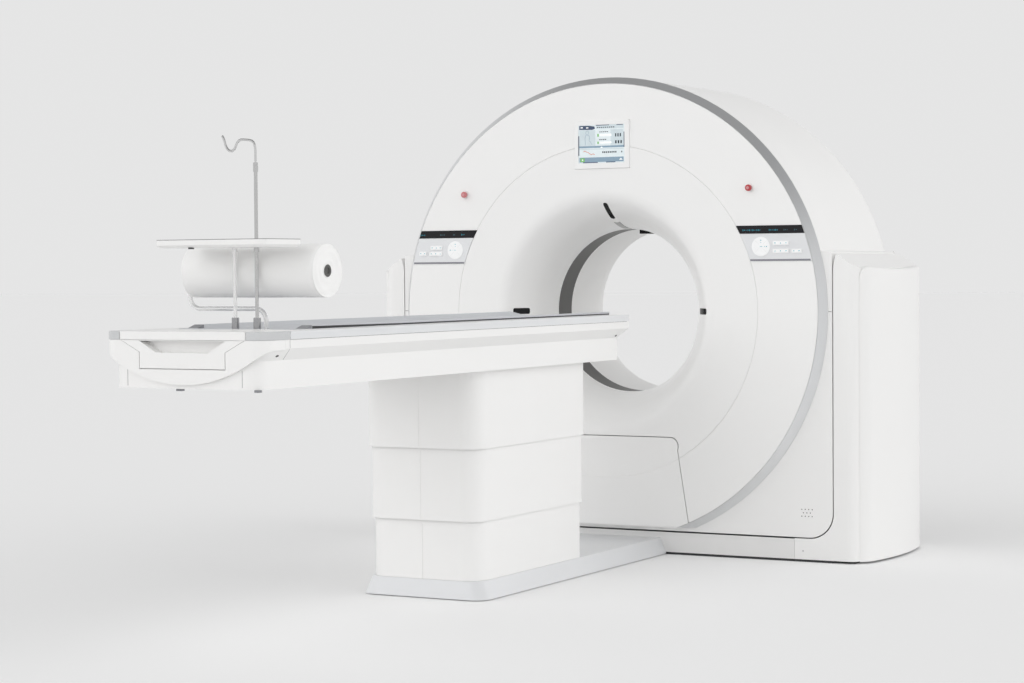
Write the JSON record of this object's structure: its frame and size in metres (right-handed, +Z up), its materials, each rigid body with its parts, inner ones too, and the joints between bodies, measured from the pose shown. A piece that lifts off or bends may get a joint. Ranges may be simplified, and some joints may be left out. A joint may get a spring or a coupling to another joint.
{
  "type": "ct scanner",
  "caption": "Medical x-ray tomography scanner: tilting ring gantry with a funnel bore between floor towers, and a lifting patient table with sliding cradle.",
  "frame": {"origin": "floor point under the isocentre, on the gantry's floor frame", "axes": "+Z up, Y along the bore with the patient table on -Y, X across"},
  "size_m": [2.3438, 3.785, 1.9964],
  "materials": {
    "white_plastic": "smooth satin moulding, warm white",
    "silver_plastic": "satin silver-grey",
    "silver_paint": "satin silver paint",
    "silver_trim": "brushed silver trim",
    "grey_plastic": "satin grey",
    "dark_steel": "dark grey paint",
    "bright_steel": "ground steel",
    "aluminium": "machined",
    "machinery": "grey paint",
    "window_film": "dark translucent film",
    "dark_window": "dark gloss window",
    "black_gloss": "black gloss",
    "screen": "display glass",
    "membrane": "sealed membrane",
    "red_plastic": "red moulding",
    "cradle_shell": "smooth light shell",
    "paper": "soft white paper"
  },
  "bodies": {
    "base": {"gantry_floor_frame": "dark_steel", "tower_column_left": "dark_steel", "tower_column_right": "dark_steel", "tower_shell_left": "silver_plastic", "tower_shell_right": "silver_plastic", "tower_side_cover_left": "white_plastic", "tower_side_cover_right": "white_plastic", "tilt_drive": "machinery", "skirt_front": "silver_plastic", "skirt_rear": "silver_plastic", "table_base_plate": "silver_paint", "levelling_feet": "dark_steel", "pedestal_cover_low": "white_plastic", "lift_column_base": "dark_steel"},
    "gantry": {"stator_frame": "dark_steel", "body_shell": "white_plastic", "trim_ring": "silver_trim", "front_outer_cover": "white_plastic", "front_inner_cover": "white_plastic", "lower_service_panel": "white_plastic", "scan_window": "window_film", "rear_tunnel": "white_plastic", "rear_cover": "white_plastic", "monitor_housing": "grey_plastic", "monitor_screen": "screen", "control_panels": "silver_paint", "display_strips": "black_gloss", "keypads": "membrane", "laser_windows": "dark_window", "main_bearing": "bright_steel", "drive_ring": "machinery"},
    "stop_left": {"emergency_stop_left": "red_plastic"},
    "stop_right": {"emergency_stop_right": "red_plastic"},
    "rotor": {"rotor_ring": "aluminium", "x_ray_tube": "machinery", "collimator": "machinery", "detector_array": "machinery", "high_voltage_generator": "machinery", "heat_exchanger": "aluminium", "slip_ring": "machinery"},
    "lift_middle": {"pedestal_cover_mid": "white_plastic", "lift_column_mid": "bright_steel"},
    "table_top": {"pedestal_cover_top": "white_plastic", "lift_column_top": "bright_steel", "deck_body": "white_plastic", "deck_top_frame": "white_plastic", "foot_cap": "white_plastic", "foot_panel": "white_plastic", "side_rails": "silver_paint", "corner_caps": "silver_paint", "deck_beams": "aluminium"},
    "cradle": {"cradle": "cradle_shell", "cradle_carriages": "bright_steel", "tray": "white_plastic", "tray_stand": "bright_steel", "infusion_pole_tube": "bright_steel", "roll_bracket": "bright_steel"},
    "collar": {"pole_collar": "grey_plastic"},
    "pole": {"pole_rod": "bright_steel"},
    "roll": {"paper_roll": "paper"}
  },
  "joints": [
    {"name": "gantry_tilt", "type": "hinge", "parent": "base", "child": "gantry", "pos_m": [0, 0, 1.0144], "axis": [1, 0, 0], "range_deg": [-30, 30]},
    {"name": "rotor_spin", "type": "hinge", "parent": "gantry", "child": "rotor", "pos_m": [0, 0, 1.0144], "axis": [0, 1, 0], "continuous": true},
    {"name": "stop_left_press", "type": "slide", "parent": "gantry", "child": "stop_left", "axis": [0, 1, 0], "range_m": [0, 0.004], "stiffness_N_per_m": 600},
    {"name": "stop_right_press", "type": "slide", "parent": "gantry", "child": "stop_right", "axis": [0, 1, 0], "range_m": [0, 0.004], "stiffness_N_per_m": 600},
    {"name": "table_lift", "type": "slide", "parent": "base", "child": "table_top", "axis": [0, 0, 1], "range_m": [-0.42, 0]},
    {"name": "lift_middle_slide", "type": "slide", "parent": "base", "child": "lift_middle", "axis": [0, 0, 1], "range_m": [-0.21, 0]},
    {"name": "cradle_slide", "type": "slide", "parent": "table_top", "child": "cradle", "axis": [0, 1, 0], "range_m": [0, 1.7]},
    {"name": "pole_turn", "type": "hinge", "parent": "cradle", "child": "collar", "pos_m": [0.051, -2.943, 1.5], "axis": [0, 0, 1], "continuous": true},
    {"name": "pole_height", "type": "slide", "parent": "collar", "child": "pole", "axis": [0, 0, 1], "range_m": [0, 0.4]},
    {"name": "roll_spin", "type": "hinge", "parent": "cradle", "child": "roll", "pos_m": [0, -2.845, 1.195], "axis": [1, 0, 0], "continuous": true}
  ],
  "couplings": [
    {"joint": "lift_middle_slide", "follows": "table_lift", "ratio": 0.5}
  ]
}
